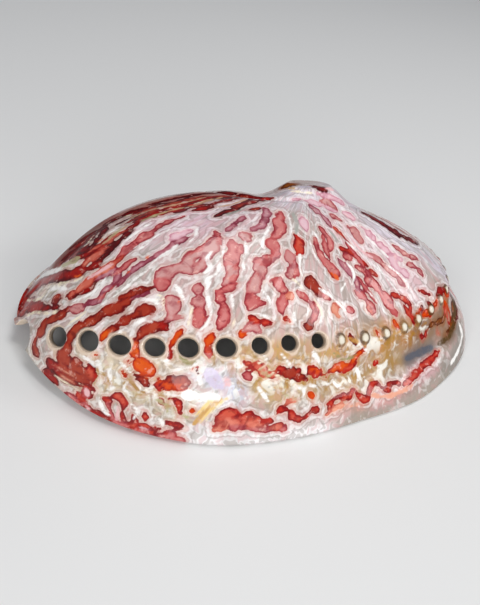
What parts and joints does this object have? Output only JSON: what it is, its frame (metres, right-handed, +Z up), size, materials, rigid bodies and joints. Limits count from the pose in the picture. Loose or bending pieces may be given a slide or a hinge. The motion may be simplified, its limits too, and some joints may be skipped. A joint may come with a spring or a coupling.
{
  "type": "abalone shell",
  "caption": "Polished abalone shell, ear-shaped dome with a curved row of open holes, a low off-centre spire, a spiral row of closed knobs and a hollow nacre-lined underside.",
  "frame": {"origin": "on the resting plane, under the middle of the shell's bounding box", "axes": "+Z up through the dome, +X along the length from the growing end with the open notch to the old end, -Y towards the row of holes"},
  "size_m": [0.1703, 0.1192, 0.0534],
  "materials": {
    "shell": "polished natural shell, glossy: blood-red to dusty-pink streaks on cream, grey-beige and pearly ground, nacre inside"
  },
  "bodies": {
    "root": {"shell": "shell"}
  },
  "joints": []
}
